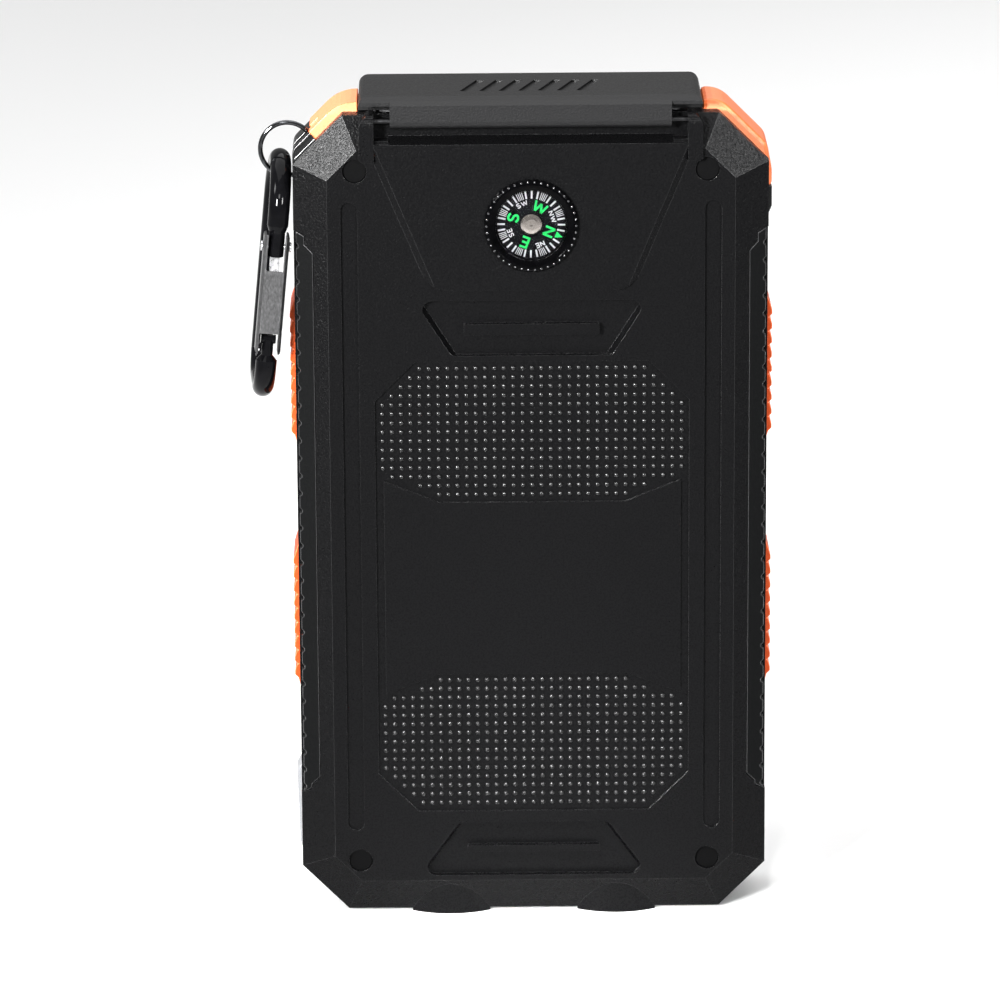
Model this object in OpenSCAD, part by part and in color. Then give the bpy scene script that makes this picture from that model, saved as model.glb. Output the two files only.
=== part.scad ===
// Pocket solar charger: two shells round a middle frame, two battery pouches, a hinged port
// cover, a compass in the rear shell, and a key ring with a carabiner at the upper left corner.
// X runs across, Y from the rear face to the solar panel, Z up from the ground. Millimetres.

/* [Shells] */
// Width across the black shells
body_w = 78.4; // [78:0.1:80]
// Thickness from the rear plane to the panel face
body_d = 20; // [20:0.5:24]
// Height of the shells' top edge above the ground
shell_top = 138.3; // [138:0.1:139]
// Gap under the shells' bottom edge
shell_bottom = 0.5; // [0.3:0.1:1]
// Leg of the chamfer at the top corners
top_chamfer = 8.2; // [7.8:0.1:8.4]
// Leg of the chamfer at the bottom corners
bottom_chamfer = 7.8; // [7.6:0.1:8.6]
// Width of the sloped facet round the rear face
facet_w = 5.6; // [5:0.1:6]
// Drop of the sloped facet at the outer edge
facet_drop = 2.2; // [1.8:0.1:2.6]
// Depth of the rear shell
rear_depth = 4.5; // [4.5:0.1:5]
// Depth of the front shell
front_depth = 2.5; // [2.5:0.1:3]
// Thickness of the shell walls
wall = 1.8; // [1.6:0.1:1.9]

/* [Rear face] */
// Width of the octagonal grip recess
grip_w = 52.2; // [50:0.2:53]
// Lower end of the grip recess
grip_z0 = 18.45; // [18:0.05:20]
// Upper end of the grip recess
grip_z1 = 96.9; // [94:0.1:97]
// Depth of the grip recess and the long slots
recess_d = 0.5; // [0.3:0.1:0.6]
// Depth of the two recesses with a bar in them
bar_recess_d = 1.3; // [0.5:0.1:1.3]
// Distance of the long slots from the centre line
slot_x = 30; // [29.8:0.1:30.4]
// Width of the long slots
slot_w = 2.8; // [2:0.1:3]
// Height of the raised shield round the compass
shield_rise = 0.7; // [0.4:0.1:0.9]
// Part line of the side grip inserts
insert_x = 35.9; // [35.5:0.1:36.2]
// Pitch of the teeth on the grip inserts
tooth_pitch = 3.03; // [2.8:0.01:3.2]

/* [Compass] */
// Height of the compass centre
compass_z = 120.2; // [119:0.1:121]
// Outer radius of the compass bezel
bezel_r = 7.8; // [7.6:0.1:8]
// Rise of the bezel above the shield
bezel_rise = 0.9; // [0.5:0.1:1.2]
// Radius of the compass card
card_r = 5.85; // [5:0.05:5.9]

/* [Port cover] */
// Width of the port cover
cover_w = 56.6; // [56:0.1:56.8]
// Height of the port cover's top face
cover_top = 141.4; // [141:0.1:142]
// Width of the hinge flap
flap_w = 46.2; // [44:0.1:46.4]
// Height of the hinge axis
hinge_z = 137.4; // [137.2:0.1:137.4]
// Distance of the hinge axis from the rear plane
hinge_in = 1.3; // [1.3:0.05:1.4]
// Radius of the hinge pin
hinge_r = 0.5; // [0.45:0.05:0.6]

/* [Bumpers] */
// How far the side blocks stand out of the shells
block_out = 0.9; // [0.5:0.1:1.2]
// Pitch of the bumps on the side blocks
bump_pitch = 2.45; // [2.2:0.05:2.6]

/* [Battery and panel] */
// Width of each battery pouch
cell_w = 61; // [50:1:61]
// Thickness of each battery pouch
cell_t = 6.4; // [5:0.1:6.4]
// Width of the solar panel
panel_w = 64; // [56:1:64]
// Lower end of the solar panel
panel_z0 = 12; // [12:1:20]
// Upper end of the solar panel
panel_z1 = 127; // [110:1:127]
// Solar cells across
cells_x = 2; // [1:1:4]
// Solar cells along
cells_z = 6; // [3:1:10]

/* [Power key] */
// Lower end of the power key
key_z0 = 9.2; // [9.2:0.1:10]
// Upper end of the power key
key_z1 = 24.8; // [20:0.1:24.8]
// How far the power key stands out of the shells
key_out = 0.9; // [0.6:0.1:1.2]

/* [Key ring and carabiner] */
// Radius of the key ring at the middle of its wire
ring_r = 4.45; // [4.4:0.05:4.5]
// Radius of the key ring's wire
ring_wire_r = 0.4; // [0.35:0.05:0.4]
// Radius of the carabiner's rod
rod_r = 1.75; // [1.6:0.05:1.75]
// Length of the carabiner between the middles of its ends
hook_l = 38; // [37:0.5:40]
// Width of the carabiner between the middles of its sides
hook_w = 15; // [14:0.5:16]
// Lean of the carabiner away from the body, in degrees
hook_lean = 5.6; // [4:0.1:8]
// Turn of the carabiner about its length, in degrees
hook_turn = 4; // [0:0.5:5]

/* [Hidden] */

$fn = 48;
far = 60; // reach of a cutting tool past the part
half_w = body_w / 2;
back_y = -body_d / 2;
front_y = body_d / 2;
rear_split = back_y + rear_depth;
front_split = front_y - front_depth;
mid_z = (shell_bottom + shell_top) / 2;

// The middle frame lies a little inside the shells' outline
frame_inset = 0.3;
frame_wall = 3.3;
frame_mid_y = (rear_split + front_split) / 2;

// Hinge of the port cover
hinge_y = back_y + hinge_in;
cover_z = shell_top + 0.25;
lug_x0 = 25.8;
lug_x1 = 28.2;
lug_top = 138.7;
end_relief_z = 140;
hinge_recess_z = 133.8;
hinge_recess_y = hinge_y + 1.65;
knuckle_r = 1.25;

// Port bay and board
bay_x = 26.2;
bay_y0 = back_y + 5.3;
bay_y1 = 6.3;
bay_floor = 135.2;
board_y0 = 3;
board_y1 = 4.2;
board_z0 = 108.5;
usb_x = 16;
usb_w = 13.2;
usb_h = 5.7;
usb_l = 14;
micro_w = 7.5;
micro_h = 2.5;

// Screws through the rear shell
screw_spots = [[29, 129.3], [29.3, 9.8]];
plug_r = 2;
plug_in = 0.55;
boss_r = 2.8;
screw_r = 0.9;
screw_head_r = 1.75;
head_seat_y = back_y + 2.7;

// Compass
compass_y = back_y - shield_rise;
cup_r = 7.2;
cup_floor_y = back_y + 4.6;
lens_t = 0.35;
card_y = compass_y + 0.65;
cap_r = 1.75;
cap_rise = 0.55;

// Solar panel
panel_y = front_y - 1.8;
substrate_t = 1;
silicon_t = 0.25;

// Lanyard corner
ring_x = -40.2;
ring_y = 0.5;
ring_z = 130.9;
post_r = 0.9;
post_x = ring_x + ring_r - ring_wire_r - post_r - 0.12;
pocket_r = 5.45;
pocket_half = 1.25;

// Carabiner: its top rod hangs in the ring's lower left
hang_angle = -122.5;
hang_r = ring_r - ring_wire_r - rod_r - 0.15;
hook_x = ring_x + hang_r * cos(hang_angle);
hook_z = ring_z + hang_r * sin(hang_angle);
rivet_z = -13;
rivet_r = 0.42;
gate_top = -10.8;
gate_bottom = -31;
gate_web_end = -27.5;
gate_half_w = 2.1;
gate_sheet = 0.45;

// ---------------------------------------------------------------- drawing helpers

// Extrudes a profile drawn in X and Z, from y0 to y1
module along_y(y0, y1) {
    translate([0, y1, 0])
        rotate([90, 0, 0])
            linear_extrude(y1 - y0)
                children();
}

// Extrudes a profile drawn in Y and Z, from x0 to x1
module along_x(x0, x1) {
    translate([x0, 0, 0])
        rotate([90, 0, 90])
            linear_extrude(x1 - x0)
                children();
}

module rod_y(r, y0, y1, x, z) {
    translate([x, y0, z])
        rotate([-90, 0, 0])
            cylinder(r = r, h = y1 - y0);
}

module rod_x(r, x0, x1, y, z) {
    translate([x0, y, z])
        rotate([0, 90, 0])
            cylinder(r = r, h = x1 - x0);
}

// A block between two opposite corners
module block(a, b) {
    translate(a)
        cube(b - a);
}

module both_sides() {
    children();
    mirror([1, 0, 0])
        children();
}

// Rounds a polygon's corners: r is one radius for each point
function unit(v) = v / norm(v);
function turn(a) = a > 180 ? a - 360 : (a < -180 ? a + 360 : a);
function corner_arc(a, b, c, r, n = 6) =
    r == 0 ? [b] :
    let (
        u = unit(a - b),
        w = unit(c - b),
        half = acos(u * w) / 2,
        centre = b + unit(u + w) * r / sin(half),
        t0 = b + u * r / tan(half) - centre,
        t1 = b + w * r / tan(half) - centre,
        start = atan2(t0[1], t0[0]),
        sweep = turn(atan2(t1[1], t1[0]) - start)
    )
    [for (i = [0:n]) centre + r * [cos(start + sweep * i / n), sin(start + sweep * i / n)]];
function rounded(points, radii) =
    let (n = len(points))
    [for (i = [0:n - 1])
        each corner_arc(points[(i + n - 1) % n], points[i], points[(i + 1) % n], radii[i])];
function box_points(x0, z0, x1, z1) = [[x0, z0], [x1, z0], [x1, z1], [x0, z1]];
function round_box(x0, z0, x1, z1, r) = rounded(box_points(x0, z0, x1, z1), [r, r, r, r]);
function octagon(hw, z0, z1, c0, c1) = [
    [hw - c0, z0], [hw, z0 + c0], [hw, z1 - c1], [hw - c1, z1],
    [-hw + c1, z1], [-hw, z1 - c1], [-hw, z0 + c0], [-hw + c0, z0]
];

// The shells' outline, grown outwards
module outline(grow = 0) {
    k = 2 - sqrt(2);
    polygon(octagon(half_w + grow, shell_bottom - grow, shell_top + grow,
                    bottom_chamfer + k * grow, top_chamfer + k * grow));
}

// Eight wedges that slope the edge of a plate: face is the plane's Y and dir points out of it
module edge_wedges(face, dir, w, drop) {
    half_h = (shell_top - shell_bottom) / 2;
    top_reach = (half_w + half_h - top_chamfer) / sqrt(2);
    bottom_reach = (half_w + half_h - bottom_chamfer) / sqrt(2);
    reach = [half_w, top_reach, half_h, top_reach, half_w, bottom_reach, half_h, bottom_reach];
    for (i = [0:7])
        translate([0, 0, mid_z])
            rotate([0, -45 * i, 0])
                linear_extrude(4 * far, center = true)
                    polygon([
                        [reach[i] - 2 * w, face + dir * drop],
                        [reach[i] + w, face - dir * 2 * drop],
                        [reach[i] + w, face + dir * drop]
                    ]);
}

// Rear shell's outer form: a plate with its sloped facets
module faceted_plate() {
    difference() {
        along_y(back_y, rear_split)
            outline();
        edge_wedges(back_y, -1, facet_w, facet_drop);
    }
}

// ---------------------------------------------------------------- rear shell

// Outline of the right grip insert, from its part line outwards
module insert_zone(gap = 0) {
    low = 21.65;
    high = 118.8;
    x = insert_x + gap;
    step = 1.4;
    polygon([
        [x, low + 2.7 + gap], [x + step, low + 1.3 + gap], [x + step, low + 0.6 + gap],
        [x + 2.4, low + gap], [half_w + 1, low - 0.5 + gap], [half_w + 1, high + 0.5 - gap],
        [x + 2.4, high - gap], [x + step, high - 0.6 - gap], [x + step, high - 2 - gap],
        [x, high - 3.4 - gap]
    ]);
}

// Compass shield: a raised trapezoid with sloped sides
module shield() {
    top_x = 27.1;
    low_x = 16.9;
    low_z = 109.15;
    slope_w = 1.1;
    points = [[-low_x, low_z], [low_x, low_z], [top_x, hinge_recess_z], [-top_x, hinge_recess_z]];
    side_angle = atan2(hinge_recess_z - low_z, top_x - low_x);
    difference() {
        along_y(back_y - shield_rise, back_y + 1)
            polygon(rounded(points, [5, 5, 0, 0]));
        both_sides()
            translate([low_x, back_y, low_z])
                rotate([0, 90 - side_angle, 0])
                    translate([0, 0, -far])
                        linear_extrude(2 * far)
                            polygon([
                                [-slope_w, -shield_rise], [slope_w, shield_rise],
                                [slope_w, -3 * shield_rise], [-slope_w, -3 * shield_rise]
                            ]);
    }
}

// Lugs that carry the hinge pin, rounded at the top
module hinge_lugs() {
    low = hinge_recess_z - 3;
    face = back_y - shield_rise;
    both_sides()
        intersection() {
            along_x(lug_x0, lug_x1)
                polygon(rounded(box_points(face, low, rear_split, lug_top), [0, 0, 0, 1.6]));
            along_y(face - 1, rear_split)
                polygon(rounded(box_points(lug_x0, low, lug_x1, lug_top), [0, 0, 2.2, 0]));
        }
}

// Ramp at the foot of the hinge recess
module hinge_ramp() {
    face = back_y - shield_rise;
    along_x(-flap_w / 2 - 0.3, flap_w / 2 + 0.3)
        polygon([
            [face, hinge_recess_z - 0.5], [hinge_recess_y + 0.2, hinge_recess_z - 0.5],
            [hinge_recess_y + 0.2, hinge_recess_z + 0.9], [face, hinge_recess_z]
        ]);
}

// Two half-barrel feet under the rear edge
module feet() {
    foot_x = 14;
    foot_half = 6.6;
    bulge = 1.9;
    barrel_r = (foot_half * foot_half + bulge * bulge) / (2 * bulge);
    front = back_y + facet_drop - bulge;
    both_sides()
        intersection() {
            translate([foot_x, front + barrel_r, 0])
                cylinder(r = barrel_r, h = 6, $fn = 96);
            block([foot_x - foot_half, back_y, 0], [foot_x + foot_half, rear_split, 6]);
        }
}

module grip_recess() {
    chamfer = 6.7;
    points = [
        [-24.7, 39.3], [-15.8, 42.75], [15.8, 42.75], [24.7, 39.3],
        [24.7, 76.4], [15.5, 72.7], [-15.5, 72.7], [-24.7, 76.4]
    ];
    along_y(back_y - 1, back_y + recess_d)
        difference() {
            polygon(octagon(grip_w / 2, grip_z0, grip_z1, chamfer, chamfer));
            polygon(points);
        }
}

// A trapezoid recess with sloped sides and a raised bar left in it
module bar_recess(z0, z1, low_half, high_half, bar_z0, bar_z1) {
    bar_half = 11.2;
    slope_w = 0.7;
    points = [[-low_half, z0], [low_half, z0], [high_half, z1], [-high_half, z1]];
    difference() {
        along_y(back_y - 1, back_y + bar_recess_d)
            difference() {
                polygon(rounded(points, [1.5, 1.5, 1.5, 1.5]));
                polygon(round_box(-bar_half, bar_z0, bar_half, bar_z1, 0.3));
            }
        both_sides()
            translate([low_half, back_y, z0])
                rotate([0, atan2(high_half - low_half, z1 - z0), 0])
                    translate([0, 0, -far])
                        linear_extrude(2 * far)
                            polygon([
                                [slope_w, -bar_recess_d], [-2 * slope_w, 2 * bar_recess_d],
                                [5, 2 * bar_recess_d], [5, -bar_recess_d]
                            ]);
    }
}

module long_slot() {
    low = 15.1 + slot_w / 2;
    high = 124.1 - slot_w / 2;
    along_y(back_y - 1, back_y + recess_d + 0.1) {
        translate([slot_x, low])
            circle(r = slot_w / 2);
        translate([slot_x, high])
            circle(r = slot_w / 2);
        polygon(box_points(slot_x - slot_w / 2, low, slot_x + slot_w / 2, high));
    }
}

module rear_shell() color([0.13, 0.13, 0.135])
    difference() {
        union() {
            difference() {
                union() {
                    faceted_plate();
                    shield();
                }
                // hollow inside, less deep behind the bar recesses
                along_y(back_y + wall, rear_split + 1)
                    difference() {
                        polygon(octagon(half_w - 4.2, 4.7, 132.4, 6, 9));
                        polygon(box_points(-half_w, 0, half_w, 18));
                        polygon(box_points(-half_w, 96, half_w, 109));
                    }
                along_y(back_y + 2.5, rear_split + 1)
                    polygon(box_points(-half_w + 4.2, 10, half_w - 4.2, 110));
                // hinge recess
                block([-lug_x0, back_y - 3, hinge_recess_z], [lug_x0, hinge_recess_y, shell_top + 1]);
            }
            both_sides()
                for (p = screw_spots)
                    rod_y(boss_r + 0.4, back_y + 1, rear_split, p[0], p[1]);
            hinge_lugs();
            hinge_ramp();
            both_sides()
                block([flap_w / 2 + 0.3, back_y + 0.2, hinge_recess_z - 0.5],
                      [lug_x0 + 0.2, hinge_recess_y + 0.2, hinge_recess_z + 0.5]);
            feet();
        }
        grip_recess();
        bar_recess(97.9, 107.3, 13.3, 19.3, 101.45, 103.3);
        bar_recess(7, 16.5, 19.5, 12.6, 11.2, 12.3);
        both_sides() {
            long_slot();
            along_y(back_y - 1, rear_split - 0.5)
                insert_zone();
            rod_x(hinge_r + 0.01, lug_x0 - 0.3, lug_x1 - 0.6, hinge_y, hinge_z);
            for (p = screw_spots) {
                rod_y(plug_r + 0.02, back_y - 1, head_seat_y, p[0], p[1]);
                rod_y(screw_r + 0.2, back_y, rear_split + 1, p[0], p[1]);
            }
        }
        rod_y(cup_r + 0.02, back_y - 2, rear_split + 1, 0, compass_z);
    }

module grip_insert() {
    edge = half_w - 0.4;
    tooth = 0.42;
    low = 20;
    count = ceil(100 / tooth_pitch);
    teeth = [for (i = [0:count - 1])
        let (z = low + i * tooth_pitch)
        each [
            [edge, z], [edge, z + 0.62 * tooth_pitch],
            [edge - tooth, z + 0.76 * tooth_pitch], [edge - tooth, z + 0.86 * tooth_pitch]
        ]];
    intersection() {
        faceted_plate();
        along_y(back_y - 1, rear_split - 0.5)
            intersection() {
                insert_zone(0.12);
                polygon(concat([[insert_x - 2, low]], teeth,
                               [[edge, low + count * tooth_pitch],
                                [insert_x - 2, low + count * tooth_pitch]]));
            }
    }
}

module grip_insert_right() color([0.11, 0.115, 0.12])
    grip_insert();

module grip_insert_left() color([0.11, 0.115, 0.12])
    mirror([1, 0, 0])
        grip_insert();

// ---------------------------------------------------------------- middle frame and bumpers

// How far a corner stands out of the shells: at the top, across the chamfer and at the side
guard_out = [1.25, 1.25, 0.75];
bare_out = [0.6, 1, 0.1];
corner_in = [-1.2, -1.25, -1.2];

// Points along the right corner, from the port cover's end down to z_end
function corner_points(out, z_end) =
    let (
        top = shell_top + out[0],
        side = half_w + out[2],
        diagonal = half_w + shell_top - top_chamfer + out[1] * sqrt(2)
    )
    [[cover_w / 2 + 0.15, top], [diagonal - top, top], [side, diagonal - side], [side, z_end]];

function reversed(points) = [for (i = [len(points) - 1:-1:0]) points[i]];

// Outline of the right corner down to z_end; bend is the radius of its upper bend
module corner_outline(out, z_end, bend) {
    points = concat(corner_points(out, z_end), reversed(corner_points(corner_in, z_end)));
    polygon(rounded(points, [0, bend, 2, 0, 0, 0, 0, 0]));
}

// Wedge that slopes the right guard's outer side towards its top
module guard_slope() {
    side = half_w + guard_out[2];
    translate([side, 131])
        polygon([[-1.2, 3], [0, -3.4], [3, -3.4], [3, 3]]);
}

guard_z = 124.8;
corner_z = 118.9;
guard_y0 = rear_split + 2.1;

// Side block profile, right side: a comb of round-backed bumps between tapered ends
module side_block_profile(z0, z1) {
    root = half_w - 1.5;
    base = half_w + 0.35;
    crest = half_w + block_out;
    count = floor((z1 - z0 - 3) / bump_pitch);
    first = (z0 + z1 - count * bump_pitch) / 2;
    bumps = [for (i = [0:count - 1])
        let (z = first + i * bump_pitch)
        each [
            [base, z], [crest, z + 0.22 * bump_pitch], [crest, z + 0.5 * bump_pitch],
            [base + 0.2, z + 0.96 * bump_pitch]
        ]];
    polygon(concat([[root, z0], [half_w - 0.3, z0]], bumps, [[half_w - 0.3, z1], [root, z1]]));
}

module side_block(z0, z1) {
    along_y(rear_split + 1.1, front_split)
        side_block_profile(z0, z1);
}

block_low = [38.2, 65.1];
block_high = [81, 107.3];

// The left guard ends where the lanyard corner begins
module lanyard_corner_zone() {
    polygon([[-36.4, 134.35], [-34.4, 132.35], [-half_w + 6, 110], [-half_w - 5, 110],
             [-half_w - 5, 97.95 + half_w + 5]]);
}

// Outline of the left corner guard, which stops short of the lanyard corner
module left_guard_outline(grow = 0) {
    difference() {
        mirror([1, 0])
            corner_outline(guard_out + [grow, grow, grow], guard_z, 7);
        lanyard_corner_zone();
    }
}

module lanyard_pocket() {
    rod_y(pocket_r, ring_y - pocket_half, ring_y + pocket_half, post_x, ring_z);
}

module mid_frame() color([0.12, 0.12, 0.125]) {
    difference() {
        union() {
            along_y(rear_split, front_split)
                difference() {
                    outline(-frame_inset);
                    polygon(octagon(half_w - frame_wall, 3.4, 133.6, 11, 11.5));
                }
            // corners stand a little proud of the shells
            along_y(guard_y0, front_split) {
                mirror([1, 0])
                    corner_outline(bare_out, corner_z, 5);
                polygon([
                    [half_w - 1.2, corner_z], [half_w - frame_inset, corner_z],
                    [half_w + guard_out[2], corner_z + 2.6], [half_w + guard_out[2], guard_z + 1],
                    [half_w - 1.2, guard_z + 1]
                ]);
            }
            // pad that the charger stands on
            block([-25, rear_split + 2, 0], [25, front_split - 1, shell_bottom + 1]);
            both_sides()
                for (p = screw_spots)
                    rod_y(boss_r, rear_split, front_split, p[0], p[1]);
        }
        // port bay and the sockets' windows
        block([-bay_x, bay_y0, bay_floor], [bay_x, bay_y1, shell_top + 1]);
        both_sides()
            block([usb_x - usb_w / 2 - 0.05, board_y0 - usb_h - 0.05, 130],
                  [usb_x + usb_w / 2 + 0.05, board_y0 + 0.05, bay_floor + 1]);
        block([-micro_w / 2 - 0.05, board_y0 - micro_h - 0.05, 130],
              [micro_w / 2 + 0.05, board_y0 + 0.05, bay_floor + 1]);
        // guard and block pockets
        along_y(guard_y0, front_split + 1) {
            corner_outline(guard_out + [1, 1, 1], guard_z, 5);
            left_guard_outline(1);
        }
        both_sides()
            for (z = [block_low, block_high])
                block([half_w - 1.5, rear_split + 1.1, z[0]], [half_w + 2, front_split + 1, z[1]]);
        // gasket groove
        along_y(rear_split - 1, rear_split + 0.8)
            gasket_ring();
        lanyard_pocket();
        // window of the power key, and room behind it for its flange and board
        block([-half_w - 1, key_y - key_half_d - 0.15, key_z0 - 0.15],
              [-half_w + frame_wall + 1, key_y + key_half_d + 0.15, key_z1 + 0.15]);
        block([-half_w + frame_wall, key_y - key_half_d - 1, key_z0 - 1.2],
              [-34.2, key_board_y + 1.2, key_z1 + 1.2]);
        both_sides()
            for (p = screw_spots)
                rod_y(screw_r + 0.02, rear_split - 1, front_split + 1, p[0], p[1]);
    }
    rod_y(post_r, ring_y - pocket_half - 0.5, ring_y + pocket_half + 0.5, post_x, ring_z);
}

// The seal runs a little inside the shells' outline and passes below the port bay
module seal_outline(inset) {
    top = bay_floor + 2 - inset;
    side = half_w - inset;
    top_c = side + top - (half_w + shell_top - top_chamfer - inset * sqrt(2));
    bottom_c = bottom_chamfer - inset * (2 - sqrt(2));
    polygon(octagon(side, shell_bottom + inset, top, bottom_c, top_c));
}

module gasket_ring() {
    difference() {
        seal_outline(2.1);
        seal_outline(2.9);
    }
}

module shell_gasket() color([0.35, 0.35, 0.36])
    along_y(rear_split, rear_split + 0.8)
        gasket_ring();

module corner_guard_right() color([0.93, 0.42, 0.16])
    along_y(guard_y0, front_split)
        difference() {
            corner_outline(guard_out, guard_z, 5);
            guard_slope();
        }

module corner_guard_left() color([0.93, 0.42, 0.16])
    difference() {
        along_y(guard_y0, front_split)
            left_guard_outline();
        lanyard_pocket();
    }

module side_block_upper_right() color([0.93, 0.42, 0.16])
    side_block(block_high[0], block_high[1]);

module side_block_lower_right() color([0.93, 0.42, 0.16])
    side_block(block_low[0], block_low[1]);

module side_block_upper_left() color([0.93, 0.42, 0.16])
    mirror([1, 0, 0])
        side_block(block_high[0], block_high[1]);

module side_block_lower_left() color([0.93, 0.42, 0.16])
    mirror([1, 0, 0])
        side_block(block_low[0], block_low[1]);

// ---------------------------------------------------------------- front shell and panel

led_x = -33.9;
led_z = [20.2, 22.4, 24.6, 26.8];
pipe_r = 0.7;

module front_shell() color([0.12, 0.12, 0.125])
    difference() {
        along_y(front_split, front_y)
            outline();
        edge_wedges(front_y, 1, 1, 1);
        // panel pocket
        along_y(panel_y, front_y + 1)
            polygon(round_box(-panel_w / 2, panel_z0, panel_w / 2, panel_z1, 1.5));
        // nail notch under the port cover
        block([-8, front_y - 0.9, shell_top - 1.2], [8, front_y + 1, shell_top + 1]);
        for (z = led_z)
            rod_y(pipe_r + 0.02, front_split - 1, front_y + 1, led_x, z);
        rod_y(1.2, front_split - 1, front_y, 20, 118);
    }

module solar_substrate() color([0.1, 0.12, 0.1])
    along_y(panel_y, panel_y + substrate_t)
        polygon(round_box(-panel_w / 2 + 0.1, panel_z0 + 0.1, panel_w / 2 - 0.1, panel_z1 - 0.1, 1.4));

module solar_cells() color([0.06, 0.07, 0.16]) {
    gap = 1.2;
    margin = 2;
    w = (panel_w - 2 * margin - (cells_x - 1) * gap) / cells_x;
    h = (panel_z1 - panel_z0 - 2 * margin - (cells_z - 1) * gap) / cells_z;
    for (i = [0:cells_x - 1], j = [0:cells_z - 1])
        translate([-panel_w / 2 + margin + i * (w + gap), panel_y + substrate_t,
                   panel_z0 + margin + j * (h + gap)])
            cube([w, silicon_t, h]);
}

module panel_cover() color([0.6, 0.65, 0.7, 0.4])
    along_y(panel_y + substrate_t + silicon_t, front_y - 0.15)
        polygon(round_box(-panel_w / 2 + 0.1, panel_z0 + 0.1, panel_w / 2 - 0.1, panel_z1 - 0.1, 1.4));

// ---------------------------------------------------------------- fasteners

module shell_screws() color([0.75, 0.76, 0.78])
    both_sides()
        for (p = screw_spots)
            difference() {
                union() {
                    rod_y(screw_r, head_seat_y - 0.5, front_split - 0.6, p[0], p[1]);
                    rod_y(screw_head_r, head_seat_y - 1.4, head_seat_y, p[0], p[1]);
                }
                translate([p[0], head_seat_y - 0.6, p[1]])
                    for (a = [0, 90])
                        rotate([0, a, 0])
                            cube([2, 2, 0.4], center = true);
            }

module screw_plugs() color([0.12, 0.12, 0.125])
    both_sides()
        for (p = screw_spots)
            rod_y(plug_r, back_y + plug_in, back_y + 1.25, p[0], p[1]);

// ---------------------------------------------------------------- compass

module compass_housing() color([0.08, 0.08, 0.085])
    difference() {
        rod_y(cup_r, compass_y, cup_floor_y, 0, compass_z);
        rod_y(cup_r - 0.7, compass_y - 1, cup_floor_y - 0.8, 0, compass_z);
    }

module compass_bezel() color([0.05, 0.05, 0.055])
    translate([0, compass_y, compass_z])
        rotate([90, 0, 0])
            difference() {
                rotate_extrude($fn = 96)
                    polygon([
                        [5.95, 0], [bezel_r, 0], [bezel_r, 0.55 * bezel_rise],
                        [bezel_r - 0.45, 0.9 * bezel_rise], [bezel_r - 0.9, bezel_rise],
                        [6.6, 0.8 * bezel_rise], [5.95, 0.45 * bezel_rise]
                    ]);
                for (i = [0:35])
                    rotate([0, 0, 10 * i])
                        translate([bezel_r + 0.12, 0, -1])
                            cylinder(r = 0.3, h = 3, $fn = 16);
            }

module compass_lens() color([0.8, 0.85, 0.88, 0.35])
    rod_y(5.93, compass_y - lens_t, compass_y, 0, compass_z);

module compass_pivot() color([0.8, 0.7, 0.4])
    rod_y(0.3, card_y - 0.6 * cap_rise, cup_floor_y - 0.8, 0, compass_z);

module compass_card() color([0.06, 0.06, 0.06])
    difference() {
        rod_y(card_r, card_y, card_y + 0.5, 0, compass_z);
        rod_y(0.36, card_y - 1, card_y + 1, 0, compass_z);
    }

module compass_cap() color([0.8, 0.76, 0.7])
    difference() {
        translate([0, card_y, compass_z])
            rotate([90, 0, 0])
                rotate_extrude()
                    polygon([
                        [0, 0], [cap_r, 0], [cap_r, 0.45 * cap_rise],
                        [0.85 * cap_r, 0.8 * cap_rise], [0.55 * cap_r, 0.95 * cap_rise],
                        [0, cap_rise]
                    ]);
        rod_y(0.36, card_y - 0.7 * cap_rise, card_y + 1, 0, compass_z);
    }

// ---------------------------------------------------------------- battery and leads

cell_z0 = 14;
cell_z1 = 106;
cell_y = back_y + 2.6;
foam_t = 0.8;

// A pouch with soft edges and the folded seam at its top
module pouch(y0) {
    along_x(-cell_w / 2, cell_w / 2)
        polygon(round_box(y0, cell_z0, y0 + cell_t, cell_z1 - 3, 1.6));
    block([-cell_w / 2 + 2, y0 + cell_t / 2 - 0.3, cell_z1 - 4],
          [cell_w / 2 - 2, y0 + cell_t / 2 + 0.3, cell_z1]);
}

module battery_cell_rear() color([0.72, 0.74, 0.76])
    pouch(cell_y);

module battery_cell_front() color([0.72, 0.74, 0.76])
    pouch(cell_y + cell_t + foam_t);

module battery_foam() color([0.2, 0.2, 0.2])
    along_y(cell_y + cell_t, cell_y + cell_t + foam_t)
        polygon(round_box(-cell_w / 2 + 4, cell_z0 + 4, cell_w / 2 - 4, cell_z1 - 8, 2));

// Leads from the pouches' seams: the front pair ends at the board's edge, the rear pair behind it
module battery_leads() color([0.8, 0.12, 0.1]) {
    rear_y = cell_y + cell_t / 2;
    front_pair_y = cell_y + 1.5 * cell_t + foam_t;
    solder_z = 111;
    lead_r = 0.5;
    for (x = [-8, -5]) {
        translate([x, front_pair_y, cell_z1])
            cylinder(r = lead_r, h = board_z0 - cell_z1);
        translate([x, rear_y, cell_z1])
            cylinder(r = lead_r, h = solder_z - cell_z1);
        translate([x, rear_y, solder_z])
            sphere(r = lead_r);
        rod_y(lead_r, rear_y, board_y0, x, solder_z);
    }
}

module panel_leads() color([0.85, 0.1, 0.1])
    for (x = [19.4, 20.6])
        rod_y(0.4, board_y1, panel_y, x, 118);

// ---------------------------------------------------------------- main board

module main_board() color([0.05, 0.25, 0.14])
    difference() {
        along_y(board_y0, board_y1)
            polygon(rounded(box_points(-24.5, board_z0, 24.5, 133.4), [2, 2, 1, 1]));
        both_sides()
            rod_y(1.1, board_y0 - 1, board_y1 + 1, 22, 111);
        for (x = [19.4, 20.6])
            rod_y(0.42, board_y0 - 1, board_y1 - 0.6, x, 118);
    }

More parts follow.
